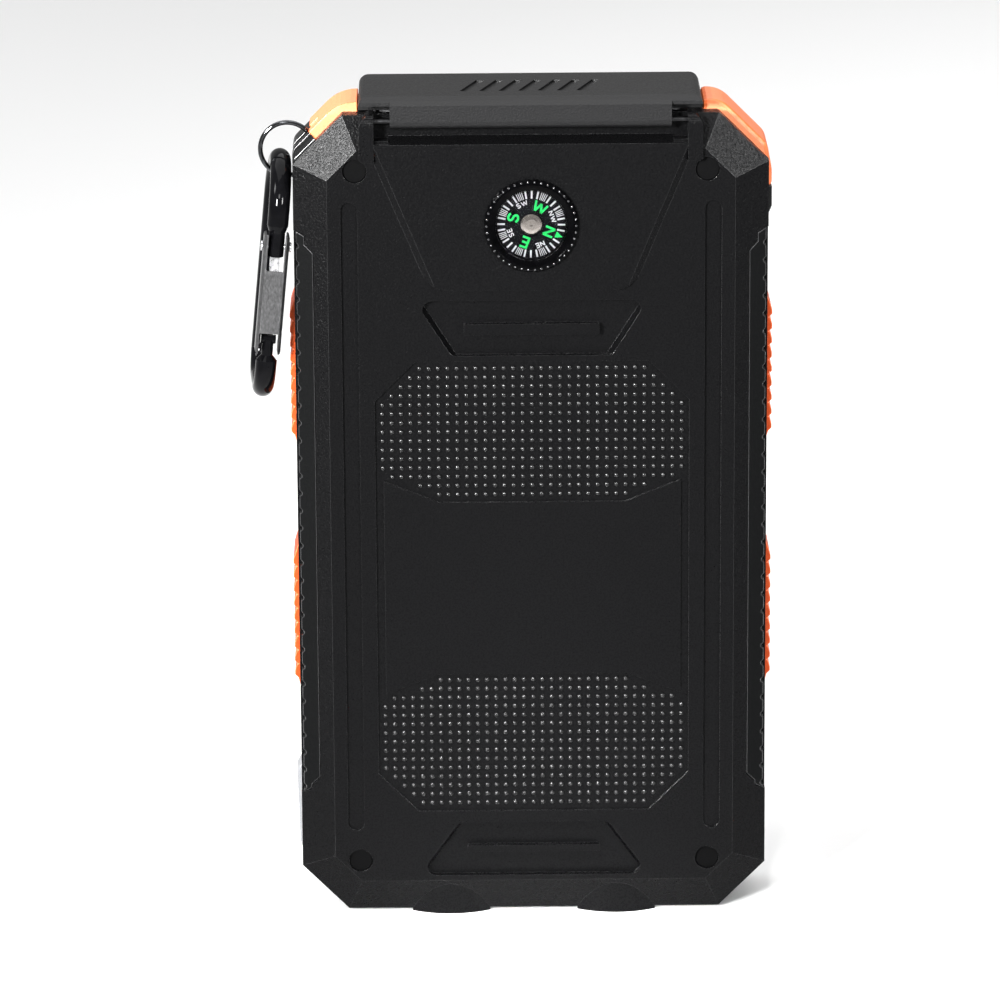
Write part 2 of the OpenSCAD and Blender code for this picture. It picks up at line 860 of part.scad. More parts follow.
// USB-A shell: a folded steel box open at its top
module usb_shell() {
    sheet = 0.3;
    y0 = board_y0 - usb_h;
    difference() {
        block([usb_x - usb_w / 2, y0, bay_floor - usb_l], [usb_x + usb_w / 2, board_y0, bay_floor]);
        block([usb_x - usb_w / 2 + sheet, y0 + sheet, bay_floor - usb_l + 1],
              [usb_x + usb_w / 2 - sheet, board_y0 - sheet, bay_floor + 1]);
        for (x = [-3, 3])
            block([usb_x + x - 1, y0 - 1, bay_floor - 8], [usb_x + x + 1, y0 + sheet + 0.1, bay_floor - 4]);
    }
}

module usb_shell_right() color([0.8, 0.8, 0.82])
    usb_shell();

module usb_shell_left() color([0.8, 0.8, 0.82])
    mirror([1, 0, 0])
        usb_shell();

module usb_tongues() color([0.92, 0.92, 0.9])
    both_sides() {
        y1 = board_y0 - 0.35;
        block([usb_x - 6.2, y1 - 4.9, bay_floor - usb_l + 1.05],
              [usb_x + 6.2, y1, bay_floor - usb_l + 3]);
        block([usb_x - 5.5, y1 - 1.9, bay_floor - usb_l + 2], [usb_x + 5.5, y1, bay_floor - 1]);
    }

module micro_usb_socket() color([0.78, 0.78, 0.8])
    difference() {
        block([-micro_w / 2, board_y0 - micro_h, bay_floor - 5.6], [micro_w / 2, board_y0, bay_floor]);
        difference() {
            block([-3.45, board_y0 - micro_h + 0.3, bay_floor - 4.6],
                  [3.45, board_y0 - 0.3, bay_floor + 1]);
            block([-2.3, board_y0 - 1.25, bay_floor - 5], [2.3, board_y0 - 0.65, bay_floor - 0.6]);
        }
    }

module board_chips() color([0.12, 0.12, 0.13]) {
    spots = [[-14, 113.5, 6, 5], [-4, 112.5, 4, 4], [6, 121, 5, 6], [-17, 126, 4, 5], [17, 127.5, 4, 4]];
    for (s = spots)
        translate([s[0] - s[2] / 2, board_y1, s[1] - s[3] / 2])
            cube([s[2], 1.1, s[3]]);
}

module inductor() color([0.3, 0.3, 0.31]) {
    block([-9, board_y1, 117], [-2.4, board_y1 + 2.6, 123.6]);
    rod_y(2.4, board_y1 + 2.6, board_y1 + 2.9, -5.7, 120.3);
}

module capacitors() color([0.7, 0.6, 0.42])
    for (z = [110.5, 112.5, 114.5], x = [8, 11])
        translate([x, board_y1, z])
            cube([2, 1.2, 1.2]);

// ---------------------------------------------------------------- power key

key_y = frame_mid_y;
key_half_d = 3;
key_flange_x = -half_w + frame_wall + 0.08;
key_board_y = 4.6;

module power_key() color([0.7, 0.71, 0.72]) {
    outer = -half_w - key_out;
    // cap with sloped ends
    along_y(key_y - key_half_d, key_y + key_half_d)
        polygon([
            [key_flange_x, key_z0], [-half_w, key_z0], [outer + 0.45, key_z0 + 1.4],
            [outer, key_z1 - 1.6], [-half_w, key_z1], [key_flange_x, key_z1]
        ]);
    block([key_flange_x, key_y - key_half_d - 0.8, key_z0 - 1],
          [key_flange_x + 0.7, key_y + key_half_d + 0.5, key_z1 + 1]);
    rod_x(0.8, key_flange_x + 0.6, key_flange_x + 1, 1.8, 17);
}

module key_board() color([0.05, 0.25, 0.14])
    block([-35.4, key_board_y + 0.05, 13.4], [-31.4, key_board_y + 1, 28.5]);

module tact_switch() color([0.16, 0.16, 0.17]) {
    block([-33.9, 0.2, 14.6], [-31.6, key_board_y + 0.05, 19.4]);
    rod_x(1, -34.3, -33.8, 1.8, 17);
}

module charge_leds() color([0.9, 0.95, 1])
    for (z = led_z)
        block([led_x - 0.8, key_board_y + 1, z - 0.5], [led_x + 0.8, key_board_y + 1.7, z + 0.5]);

module light_pipes() color([0.85, 0.88, 0.9])
    for (z = led_z)
        rod_y(pipe_r, key_board_y + 1.75, front_y, led_x, z);

// Two leads from the key board, up the cell's side and across to the main board
module key_leads() color([0.2, 0.2, 0.22])
    for (i = [0, 1]) {
        x = -34.6 + 1.4 * i;
        translate([x, key_board_y + 1.5, 28])
            cylinder(r = 0.4, h = 83, $fn = 24);
        rod_y(0.4, key_board_y + 1, key_board_y + 1.5, x, 28.2);
        rod_x(0.4, x, -24.2, key_board_y + 1.5, 110.6 - 1.2 * i);
        rod_y(0.4, board_y1, key_board_y + 1.5, -24.2, 110.6 - 1.2 * i);
    }

// ---------------------------------------------------------------- port cover

module usb_cover() color([0.15, 0.15, 0.155]) {
    end_r = 1.6;
    cover_y0 = back_y + 0.7;
    relief_y = rear_split + 0.4;
    slots = 7;
    slot_pitch = 3.2;
    difference() {
        union() {
            difference() {
                along_y(cover_y0, front_y)
                    polygon(rounded(box_points(-cover_w / 2, cover_z, cover_w / 2, cover_top),
                                    [0, 0, end_r, end_r]));
                // slanted grip grooves
                for (i = [0:slots - 1])
                    translate([(i - (slots - 1) / 2) * slot_pitch, 0, cover_top])
                        rotate([0, 0, -18])
                            cube([1.3, 9, 0.7], center = true);
                // sloped rear edge
                along_x(-cover_w, cover_w)
                    polygon([
                        [cover_y0 - 1, cover_top - 1.6], [cover_y0, cover_top - 0.8],
                        [cover_y0 + 1.2, cover_top], [cover_y0 + 1.2, cover_top + 1],
                        [cover_y0 - 1, cover_top + 1]
                    ]);
                // room over the lugs
                both_sides()
                    block([flap_w / 2, back_y, hinge_z - 3], [cover_w, relief_y, end_relief_z]);
            }
            // hinge flap
            along_x(-flap_w / 2, flap_w / 2)
                polygon([
                    [back_y, hinge_z], [back_y + 1.8, hinge_z], [back_y + 1.8, cover_z + 0.5],
                    [back_y + 1, cover_top - 0.6], [back_y, cover_top - 1.2]
                ]);
            rod_x(knuckle_r, -flap_w / 2, flap_w / 2, hinge_y, hinge_z);
        }
        rod_x(hinge_r + 0.05, -cover_w, cover_w, hinge_y, hinge_z);
    }
}

// Soft plug under the cover that fills the port bay
module port_seal() color([0.3, 0.3, 0.31])
    difference() {
        along_y(bay_y0 + 0.8, bay_y1 - 0.4)
            polygon(round_box(-bay_x + 0.4, cover_z - 1.6, bay_x - 0.4, cover_z, 0));
        for (x = [-usb_x, usb_x])
            block([x - 5, board_y0 - usb_h + 1, cover_z - 2], [x + 5, board_y0 - 1, cover_z - 0.8]);
    }

module hinge_pin() color([0.7, 0.71, 0.73])
    rod_x(hinge_r, -lug_x1 + 0.7, lug_x1 - 0.7, hinge_y, hinge_z);

// ---------------------------------------------------------------- key ring and carabiner

module key_ring() color([0.65, 0.66, 0.68])
    translate([ring_x, ring_y, ring_z])
        rotate([90, 0, 0])
            rotate_extrude($fn = 96)
                translate([ring_r, 0])
                    circle(r = ring_wire_r, $fn = 24);

// Places the carabiner: local X is the rod's width, Y its depth and Z its length
module hook_place() {
    translate([hook_x, ring_y, hook_z])
        rotate([0, hook_lean, 0])
            rotate([0, 0, hook_turn])
                children();
}

arc_r = hook_w / 2;
corner_r = 4.6;
straight = arc_r - corner_r;

// A bend of the rod round [y, z]: the sweep starts at an angle from straight down, towards +Y
module hook_bend(y, z, bend_r, start, sweep) {
    translate([0, y, z])
        rotate([0, 90, 0])
            rotate_extrude(angle = sweep, start = start, $fn = 96)
                translate([bend_r, 0])
                    circle(r = rod_r, $fn = 48);
}

// A round leg on the gate's side: sizes are its radius and height at each step
module hook_leg(sizes) {
    last = sizes[len(sizes) - 1];
    translate([0, -arc_r, 0])
        rotate_extrude()
            polygon(concat([[0, sizes[0][1]]], sizes, [[0, last[1]]]));
}

module carabiner_body() color([0.05, 0.05, 0.055])
    hook_place() {
        neck_r = 0.95;
        leg_end = -hook_l + corner_r;
        head_z = -28.8;
        tang_r = 1.35;
        front = -arc_r;
        difference() {
            union() {
                hook_bend(0, -arc_r, arc_r, 90, 180);
                hook_bend(-straight, leg_end, corner_r, -90, 90);
                hook_bend(straight, leg_end, corner_r, 0, 90);
                rod_y(rod_r, -straight, straight, 0, -hook_l);
                translate([0, arc_r, leg_end])
                    cylinder(r = rod_r, h = -arc_r - leg_end);
                // upper front leg, its taper and the tang inside the gate
                hook_leg([[rod_r, -arc_r], [rod_r, -9.4], [tang_r, -10.6], [tang_r, -14.6]]);
                // nose: shoulder and neck under a cross head
                hook_leg([[rod_r, leg_end], [rod_r, -32.4], [neck_r, -31.5], [neck_r, head_z]]);
                rod_x(0.75, -1.25, 1.25, front, head_z);
            }
            rod_x(rivet_r + 0.01, -far, far, front, rivet_z);
        }
    }

// A bent channel: its web faces out and its flanges straddle the tang and the nose
module carabiner_gate() color([0.72, 0.72, 0.73])
    hook_place() {
        web_y = -arc_r - 1.9;
        flange_y = -arc_r + 1.5;
        inner = gate_half_w - gate_sheet;
        difference() {
            along_y(web_y, flange_y)
                polygon(rounded(box_points(-gate_half_w, gate_bottom, gate_half_w, gate_top),
                                [0.4, 0.4, 0.4, 0.4]));
            // inside of the channel
            block([-inner, web_y + gate_sheet, gate_bottom - 1], [inner, flange_y + 1, gate_top + 1]);
            // slot over the tang, open at the top
            along_y(web_y - 1, web_y + gate_sheet + 0.1)
                polygon(round_box(-1.4, -16.9, 1.4, gate_top + 1, 0.3));
            // fork at the lower end
            block([-inner, web_y - 1, gate_bottom - 1], [inner, web_y + gate_sheet + 0.1, gate_web_end]);
            // folded edges
            for (s = [-1, 1])
                translate([s * gate_half_w, web_y, 0])
                    rotate([0, 0, 45])
                        cube([0.7, 0.7, 100], center = true);
            rod_x(rivet_r + 0.05, -far, far, -arc_r, rivet_z);
        }
    }

module gate_rivet() color([0.8, 0.8, 0.81])
    hook_place() {
        head = 0.35;
        rod_x(rivet_r, -gate_half_w - 0.1, gate_half_w + 0.1, -arc_r, rivet_z);
        for (s = [-1, 1])
            rod_x(0.85, s * (gate_half_w + 0.05 + head / 2) - head / 2,
                  s * (gate_half_w + 0.05 + head / 2) + head / 2, -arc_r, rivet_z);
    }

// Leaf spring between the tang and the web
module gate_spring() color([0.7, 0.7, 0.72])
    hook_place()
        along_x(-0.8, 0.8)
            polygon([
                [-arc_r - 1.42, -21], [-arc_r - 1.22, -21], [-arc_r + 0.55, -15.2],
                [-arc_r + 0.35, -14.65], [-arc_r + 0.2, -14.7], [-arc_r + 0.3, -15.2]
            ]);

rear_shell();
grip_insert_left();
grip_insert_right();
mid_frame();
front_shell();
corner_guard_left();
corner_guard_right();
side_block_upper_left();
side_block_upper_right();
side_block_lower_left();
side_block_lower_right();
shell_gasket();
shell_screws();
screw_plugs();
compass_housing();
compass_bezel();
compass_lens();
compass_pivot();
compass_card();
compass_cap();
solar_substrate();
solar_cells();
panel_cover();
battery_cell_rear();
battery_cell_front();
battery_foam();
battery_leads();
panel_leads();
main_board();
usb_shell_left();
usb_shell_right();
usb_tongues();
micro_usb_socket();
board_chips();
inductor();
capacitors();
key_board();
tact_switch();
charge_leds();
light_pipes();
key_leads();
power_key();
usb_cover();
port_seal();
hinge_pin();
key_ring();
carabiner_body();
carabiner_gate();
gate_rivet();
gate_spring();
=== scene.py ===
"""Looks of a rugged pocket solar charger: materials, fine moulded detail, prints and stage.

Metres, +Z up, +Y from the rear (compass) face to the solar panel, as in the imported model.
"""

import math

import bmesh
import bpy
from mathutils import Matrix, Vector


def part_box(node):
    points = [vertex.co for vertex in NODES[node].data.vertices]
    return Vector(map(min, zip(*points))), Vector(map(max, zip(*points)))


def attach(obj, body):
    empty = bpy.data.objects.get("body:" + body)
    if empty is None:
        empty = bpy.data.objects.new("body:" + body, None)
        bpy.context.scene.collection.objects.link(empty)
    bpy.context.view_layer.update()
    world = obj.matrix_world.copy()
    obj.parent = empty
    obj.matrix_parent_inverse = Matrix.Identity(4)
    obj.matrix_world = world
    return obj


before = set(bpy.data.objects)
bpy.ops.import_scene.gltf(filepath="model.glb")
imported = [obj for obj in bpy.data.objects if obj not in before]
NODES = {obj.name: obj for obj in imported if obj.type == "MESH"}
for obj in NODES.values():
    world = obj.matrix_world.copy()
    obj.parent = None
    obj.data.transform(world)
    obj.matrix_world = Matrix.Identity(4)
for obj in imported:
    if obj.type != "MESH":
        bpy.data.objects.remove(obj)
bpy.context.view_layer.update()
MM = 0.001
ROOT = "charger_body"


# ------------------------------------------------------------------ camera and stage

CAMERA_DISTANCE = 1.0
CAMERA_ELEVATION = math.radians(16)
CAMERA_AZIMUTH = math.radians(-0.6)  # a little to the left of straight on
CAMERA_LENS = 216
FRAME_CENTRE_X = -5.4 * MM  # the charger stands a little right of the picture's middle
PIVOT_Z = 71.4 * MM  # height on the rear plane that the camera's distance is measured to
AIM_Z = 73.1 * MM
CAMERA_ROLL = math.radians(-0.33)

ROOM_LIGHT = 0.3  # strength of the even light from all round
FLOOR_SIZE = 8  # metres

# Each light: place, target, size (metres), power (watts) and spread (degrees; 180 is bare)
LIGHTS = {
    "overhead": ((-0.1, 0.3, 1.1), (-0.05, 0.2, 0), (1.4, 1.4), 13, 180),
    "left_softbox": ((-0.5, -0.84, 0.39), (0, 0, 0.14), (0.16, 0.22), 1.2, 30),
    "right_softbox": ((0.5, -0.84, 0.38), (0, 0, 0.14), (0.16, 0.22), 0.32, 30),
    "left_rim": ((-0.85, -0.3, 0.65), (0, 0, 0.08), (0.25, 0.25), 0.15, 30),
    "top_front": ((-0.14, -0.84, 0.58), (0, 0, 0.14), (0.14, 0.14), 0.03, 24),
    "base_wash": ((0, -0.2, 0.3), (0, -0.005, 0), (0.04, 0.04), 0.018, 14),
}


def make_camera():
    rear = cad_rear_plane()
    pivot = Vector((FRAME_CENTRE_X, rear, PIVOT_Z))
    level = math.cos(CAMERA_ELEVATION)
    back = Vector((level * math.sin(CAMERA_AZIMUTH), -level * math.cos(CAMERA_AZIMUTH),
                   math.sin(CAMERA_ELEVATION)))
    data = bpy.data.cameras.new("camera")
    data.lens = CAMERA_LENS
    data.sensor_width = 36
    data.clip_start = 0.01
    data.clip_end = 50
    camera = bpy.data.objects.new("camera", data)
    bpy.context.scene.collection.objects.link(camera)
    camera.location = pivot + back * CAMERA_DISTANCE
    aim = Vector((FRAME_CENTRE_X, rear, AIM_Z))
    look = (aim - camera.location).to_track_quat("-Z", "Y").to_matrix().to_4x4()
    roll = Matrix.Rotation(CAMERA_ROLL, 4, "Z")
    camera.matrix_world = Matrix.Translation(camera.location) @ look @ roll
    bpy.context.scene.camera = camera


def cad_rear_plane():
    """Y of the rear face's plane, which the rear of the hinge flap is flush with."""
    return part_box("usb_cover")[0].y


def area_light(name, place, target, size, power, spread):
    """A softbox: its spread is narrow where it has a grid."""
    data = bpy.data.lights.new(name, "AREA")
    data.shape = "RECTANGLE"
    data.size, data.size_y = size
    data.energy = power
    data.spread = math.radians(spread)
    light = bpy.data.objects.new(name, data)
    bpy.context.scene.collection.objects.link(light)
    light.location = place
    light.rotation_euler = (Vector(target) - Vector(place)).to_track_quat("-Z", "Y").to_euler()


def make_stage():
    bpy.ops.mesh.primitive_plane_add(size=FLOOR_SIZE, location=(0, 0, 0))
    floor = bpy.context.object
    floor.name = "floor"
    material, shader, _ = new_material("floor_paper")
    shader.inputs["Base Color"].default_value = (0.9, 0.9, 0.9, 1)
    shader.inputs["Roughness"].default_value = 0.9
    shader.inputs["Specular IOR Level"].default_value = 0.1
    floor.data.materials.append(material)
    world = bpy.data.worlds.new("world")
    bpy.context.scene.world = world
    world.use_nodes = True
    background = world.node_tree.nodes["Background"]
    background.inputs["Color"].default_value = (1, 1, 1, 1)
    background.inputs["Strength"].default_value = ROOM_LIGHT
    scene = bpy.context.scene
    scene.view_settings.view_transform = "Standard"
    scene.view_settings.look = "None"


# ------------------------------------------------------------------ material helpers

MOTTLE_SCALE = 2600  # noise scales count features to a metre
# scale of the patches in the painted edge highlight
EDGE_PATCH_SCALE = 900
EDGE_GRAIN = 4200
CELL_FLAKES = 260


def new_material(name):
    material = bpy.data.materials.new(name)
    material.use_nodes = True
    tree = material.node_tree
    shader = tree.nodes["Principled BSDF"]
    return material, shader, tree


def noise_node(tree, scale, detail=4, roughness=0.55, stretch=(1, 1, 1)):
    """Noise in object space, so its grain is in metres and the same on every piece."""
    coords = tree.nodes.new("ShaderNodeTexCoord")
    mapping = tree.nodes.new("ShaderNodeMapping")
    mapping.inputs["Scale"].default_value = stretch
    noise = tree.nodes.new("ShaderNodeTexNoise")
    noise.inputs["Scale"].default_value = scale
    noise.inputs["Detail"].default_value = detail
    noise.inputs["Roughness"].default_value = roughness
    tree.links.new(coords.outputs["Object"], mapping.inputs["Vector"])
    tree.links.new(mapping.outputs["Vector"], noise.inputs["Vector"])
    return noise


def ramp_node(tree, source, stops):
    ramp = tree.nodes.new("ShaderNodeValToRGB")
    while len(ramp.color_ramp.elements) < len(stops):
        ramp.color_ramp.elements.new(0.5)
    for element, (place, colour) in zip(ramp.color_ramp.elements, stops):
        element.position = place
        element.color = (*colour, 1) if len(colour) == 3 else colour
    tree.links.new(source, ramp.inputs["Fac"])
    return ramp


def range_node(tree, source, low, high, out_low, out_high):
    node = tree.nodes.new("ShaderNodeMapRange")
    node.inputs["From Min"].default_value = low
    node.inputs["From Max"].default_value = high
    node.inputs["To Min"].default_value = out_low
    node.inputs["To Max"].default_value = out_high
    tree.links.new(source, node.inputs["Value"])
    return node


def bump_node(tree, height, strength, distance):
    bump = tree.nodes.new("ShaderNodeBump")
    bump.inputs["Strength"].default_value = strength
    bump.inputs["Distance"].default_value = distance
    tree.links.new(height, bump.inputs["Height"])
    return bump


def moulded(name, dark, light, roughness, grain=2200, grain_depth=0.025, specular=0.4):
    """Moulded plastic or rubber with a fine spark-eroded grain and faint mottling."""
    material, shader, tree = new_material(name)
    mottle = noise_node(tree, MOTTLE_SCALE, 5, 0.75)
    colour = ramp_node(tree, mottle.outputs["Fac"], [(0.3, dark), (0.7, light)])
    tree.links.new(colour.outputs["Color"], shader.inputs["Base Color"])
    fine = noise_node(tree, grain, 2, 0.5)
    rough = range_node(tree, fine.outputs["Fac"], 0.3, 0.7, roughness - 0.06, roughness + 0.06)
    tree.links.new(rough.outputs["Result"], shader.inputs["Roughness"])
    bump = bump_node(tree, fine.outputs["Fac"], 1, grain_depth * MM)
    tree.links.new(bump.outputs["Normal"], shader.inputs["Normal"])
    shader.inputs["Specular IOR Level"].default_value = specular
    return material


def edge(name, dark, light, roughness):
    """Rounded edge of a moulding as a painted highlight: coloured much lighter than its face,
    uneven in patches, and smoother where lighter.
    """
    material, shader, tree = new_material(name)
    patches = noise_node(tree, EDGE_PATCH_SCALE, 5, 0.7)
    colour = ramp_node(tree, patches.outputs["Fac"], [(0.35, dark), (0.7, light)])
    tree.links.new(colour.outputs["Color"], shader.inputs["Base Color"])
    rough = range_node(tree, patches.outputs["Fac"], 0.35, 0.7, roughness + 0.08,
                       roughness - 0.06)
    tree.links.new(rough.outputs["Result"], shader.inputs["Roughness"])
    bump = bump_node(tree, noise_node(tree, EDGE_GRAIN, 2).outputs["Fac"], 1, 0.02 * MM)
    tree.links.new(bump.outputs["Normal"], shader.inputs["Normal"])
    shader.inputs["Specular IOR Level"].default_value = 0.45
    return material


def metal(name, dark, light, roughness, stretch=(1, 1, 1), scale=1500, depth=0.006,
          spread=0.12):
    """Metal: a stretch under 1 on an axis draws the grain out along it."""
    material, shader, tree = new_material(name)
    grain = noise_node(tree, scale, 4, 0.6, stretch)
    colour = ramp_node(tree, grain.outputs["Fac"], [(0.3, dark), (0.7, light)])
    tree.links.new(colour.outputs["Color"], shader.inputs["Base Color"])
    rough = range_node(tree, grain.outputs["Fac"], 0.3, 0.7, roughness - spread / 2,
                       roughness + spread / 2)
    tree.links.new(rough.outputs["Result"], shader.inputs["Roughness"])
    bump = bump_node(tree, grain.outputs["Fac"], 0.5, depth * MM)
    tree.links.new(bump.outputs["Normal"], shader.inputs["Normal"])
    shader.inputs["Metallic"].default_value = 1
    return material


def gloss(name, dark, light, roughness, scale=700, specular=0.5):
    """Smooth lacquer or plastic with a faint orange peel."""
    material, shader, tree = new_material(name)
    peel = noise_node(tree, scale, 2)
    colour = ramp_node(tree, peel.outputs["Fac"], [(0.3, dark), (0.7, light)])
    tree.links.new(colour.outputs["Color"], shader.inputs["Base Color"])
    rough = range_node(tree, peel.outputs["Fac"], 0.3, 0.7, roughness * 0.7, roughness * 1.4)
    tree.links.new(rough.outputs["Result"], shader.inputs["Roughness"])
    bump = bump_node(tree, peel.outputs["Fac"], 0.15, 0.02 * MM)
    tree.links.new(bump.outputs["Normal"], shader.inputs["Normal"])
    shader.inputs["Specular IOR Level"].default_value = specular
    return material


def clear(name, tint, roughness=0.03, ior=1.49):
    """Clear moulded plastic, with faint smears in its gloss."""
    material, shader, tree = new_material(name)
    shader.inputs["Base Color"].default_value = (*tint, 1)
    smears = noise_node(tree, 300, 3)
    rough = range_node(tree, smears.outputs["Fac"], 0.4, 0.75, roughness, roughness + 0.05)
    tree.links.new(rough.outputs["Result"], shader.inputs["Roughness"])
    shader.inputs["Transmission Weight"].default_value = 1
    shader.inputs["IOR"].default_value = ior
    return material


def printed(name, colour, roughness=0.5):
    """Printing ink with a slightly uneven layer."""
    material, shader, tree = new_material(name)
    ink = noise_node(tree, 3000, 3)
    darker = tuple(0.82 * c for c in colour)
    ramp = ramp_node(tree, ink.outputs["Fac"], [(0.25, darker), (0.6, colour)])
    tree.links.new(ramp.outputs["Color"], shader.inputs["Base Color"])
    bump = bump_node(tree, ink.outputs["Fac"], 0.3, 0.01 * MM)
    tree.links.new(bump.outputs["Normal"], shader.inputs["Normal"])
    shader.inputs["Roughness"].default_value = roughness
    return material


def silicon_material():
    """Polycrystalline cells: flakes of near-black blue at slightly different brightness."""
    material, shader, tree = new_material("silicon")
    coords = tree.nodes.new("ShaderNodeTexCoord")
    flakes = tree.nodes.new("ShaderNodeTexVoronoi")
    flakes.inputs["Scale"].default_value = CELL_FLAKES
    tree.links.new(coords.outputs["Object"], flakes.inputs["Vector"])
    grey = tree.nodes.new("ShaderNodeRGBToBW")
    tree.links.new(flakes.outputs["Color"], grey.inputs["Color"])
    stops = [(0.2, (0.004, 0.007, 0.035)), (0.55, (0.008, 0.016, 0.075)),
             (0.85, (0.014, 0.03, 0.12))]
    ramp = ramp_node(tree, grey.outputs["Val"], stops)
    tree.links.new(ramp.outputs["Color"], shader.inputs["Base Color"])
    rough = range_node(tree, grey.outputs["Val"], 0.2, 0.8, 0.2, 0.42)
    tree.links.new(rough.outputs["Result"], shader.inputs["Roughness"])
    shader.inputs["Coat Weight"].default_value = 0.4
    return material


# ------------------------------------------------------------------ materials by node

BLACK_DARK = (0.0016, 0.0016, 0.0018)
BLACK_LIGHT = (0.0029, 0.0029, 0.0031)
ORANGE_DARK = (0.4, 0.045, 0.006)
ORANGE_LIGHT = (0.52, 0.07, 0.011)
# Corner guards: the same orange rubber as the side blocks, coloured lighter and paler as a painted
# highlight for the strong light on their tops
GUARD_PAINTED_HIGHLIGHT_DARK = (0.82, 0.22, 0.09)
GUARD_PAINTED_HIGHLIGHT_LIGHT = (0.92, 0.28, 0.13)
SHELL_GRAIN = 3200  # noise scale of the spark-eroded texture, about 0.3 mm to a grain


def make_materials():
    return {
        "shell": moulded("shell_plastic", BLACK_DARK, BLACK_LIGHT, 0.28, SHELL_GRAIN, 0.08, 0.072),
        "frame": moulded("frame_plastic", BLACK_DARK, BLACK_LIGHT, 0.34, SHELL_GRAIN, 0.035, 0.3),
        "grip": moulded("grip_rubber", (0.002, 0.0021, 0.0022), (0.003, 0.0032, 0.0033), 0.45,
                        3000, 0.03, 0.04),
        "dots": moulded("dot_plastic", BLACK_DARK, BLACK_LIGHT, 0.3, SHELL_GRAIN, 0.01, 0.5),
        "cover": moulded("cover_plastic", (0.005, 0.005, 0.0053), (0.007, 0.007, 0.0073), 0.38,
                         SHELL_GRAIN, 0.05, 0.22),
        "orange": moulded("orange_rubber", ORANGE_DARK, ORANGE_LIGHT, 0.45, 3000, 0.03, 0.18),
        "seal": moulded("seal_rubber", (0.05, 0.05, 0.052), (0.07, 0.07, 0.072), 0.7),
        # lit copy of the orange rubber: its lighter, paler colour is a painted highlight
        "guard": moulded("guard_rubber_painted_highlight", GUARD_PAINTED_HIGHLIGHT_DARK, GUARD_PAINTED_HIGHLIGHT_LIGHT, 0.45, 3000, 0.03, 0.5),
        "plug": moulded("plug_rubber", (0.0014, 0.0014, 0.0015), (0.002, 0.002, 0.0021), 0.66,
                        2500, 0.01, 0.03),
        "bezel": gloss("bezel_lacquer", (0.0005, 0.0005, 0.0006), (0.001, 0.001, 0.0012), 0.06,
                       specular=0.03),
        # Bezel beads: the same black lacquer as the bezel, coloured lighter as a painted
        # highlight; their glints also come from the lamps on the high specular
        "knurl": gloss("knurl_lacquer_painted_highlight", (0.012, 0.012, 0.013), (0.03, 0.03, 0.032), 0.1,
                       specular=1.0),
        "card": gloss("card_ink", (0.003, 0.003, 0.005), (0.006, 0.006, 0.009), 0.4,
                      specular=0.12),
        "lens": clear("lens_plastic", (1, 1, 1), ior=1.08),
        # Rounded-edge materials: a painted highlight, many times lighter than the faces they round
        "black_edge_highlight": edge("black_edge_painted_highlight", (0.016, 0.016, 0.0165), (0.03, 0.03, 0.031), 0.26),
        "orange_edge_highlight": edge("orange_edge_painted_highlight", (0.78, 0.13, 0.025), (0.88, 0.2, 0.06), 0.42),
        "cap": metal("cap_metal", (0.54, 0.49, 0.45), (0.68, 0.62, 0.57), 0.12,
                     scale=5200, depth=0.002, spread=0.05),
        "brass": metal("brass", (0.55, 0.38, 0.14), (0.75, 0.56, 0.25), 0.3),
        "steel": metal("steel", (0.45, 0.45, 0.46), (0.62, 0.62, 0.63), 0.3),
        "pin": metal("blackened_steel", (0.02, 0.02, 0.021), (0.035, 0.035, 0.036), 0.35),
        "ring": metal("ring_steel", (0.06, 0.062, 0.066), (0.14, 0.143, 0.15), 0.08, spread=0.04),
        "rivet": metal("rivet_steel", (0.6, 0.6, 0.61), (0.78, 0.78, 0.79), 0.18),
        "gate": metal("gate_steel", (0.11, 0.11, 0.112), (0.19, 0.19, 0.193), 0.34,
                      (1, 1, 0.4), 3600, 0.006, 0.1),
        "hook": gloss("hook_lacquer", (0.0015, 0.0015, 0.0018), (0.0025, 0.0025, 0.003), 0.05,
                      500, 0.09),
        "key": moulded("key_plastic", (0.22, 0.225, 0.235), (0.29, 0.295, 0.305), 0.42, 2400,
                       0.02, 0.4),
        "foil": metal("pouch_foil", (0.5, 0.51, 0.52), (0.66, 0.67, 0.68), 0.38),
        "foam": moulded("foam", (0.04, 0.04, 0.04), (0.07, 0.07, 0.07), 0.9, 700, 0.1),
        "red": gloss("lead_red", (0.5, 0.02, 0.012), (0.62, 0.03, 0.02), 0.35),
        "grey": gloss("lead_grey", (0.04, 0.04, 0.05), (0.06, 0.06, 0.07), 0.35),
        "board": gloss("solder_mask", (0.008, 0.05, 0.02), (0.015, 0.075, 0.032), 0.25),
        "white": moulded("tongue_plastic", (0.72, 0.72, 0.7), (0.8, 0.8, 0.78), 0.4, 2400,
                         0.01, 0.4),
        "chip": moulded("chip_plastic", (0.012, 0.012, 0.013), (0.02, 0.02, 0.021), 0.5),
        "ferrite": moulded("ferrite", (0.06, 0.06, 0.062), (0.085, 0.085, 0.087), 0.6),
        "ceramic": moulded("ceramic", (0.36, 0.26, 0.13), (0.45, 0.33, 0.17), 0.4),
        "led": gloss("led_cap", (0.75, 0.8, 0.85), (0.85, 0.88, 0.92), 0.12),
        "pipe": clear("pipe_plastic", (0.88, 0.9, 0.92), 0.12),
        "substrate": moulded("laminate", (0.006, 0.007, 0.01), (0.01, 0.011, 0.014), 0.4),
        "silicon": silicon_material(),
        "sheet": clear("panel_sheet", (0.97, 0.98, 0.98), 0.06),
        "white_ink": printed("white_ink", (0.8, 0.81, 0.84)),
        "green_ink": printed("green_ink", (0.0, 0.72, 0.13)),
        "silver_ink": printed("silver_ink", (0.55, 0.56, 0.58), 0.3),
    }


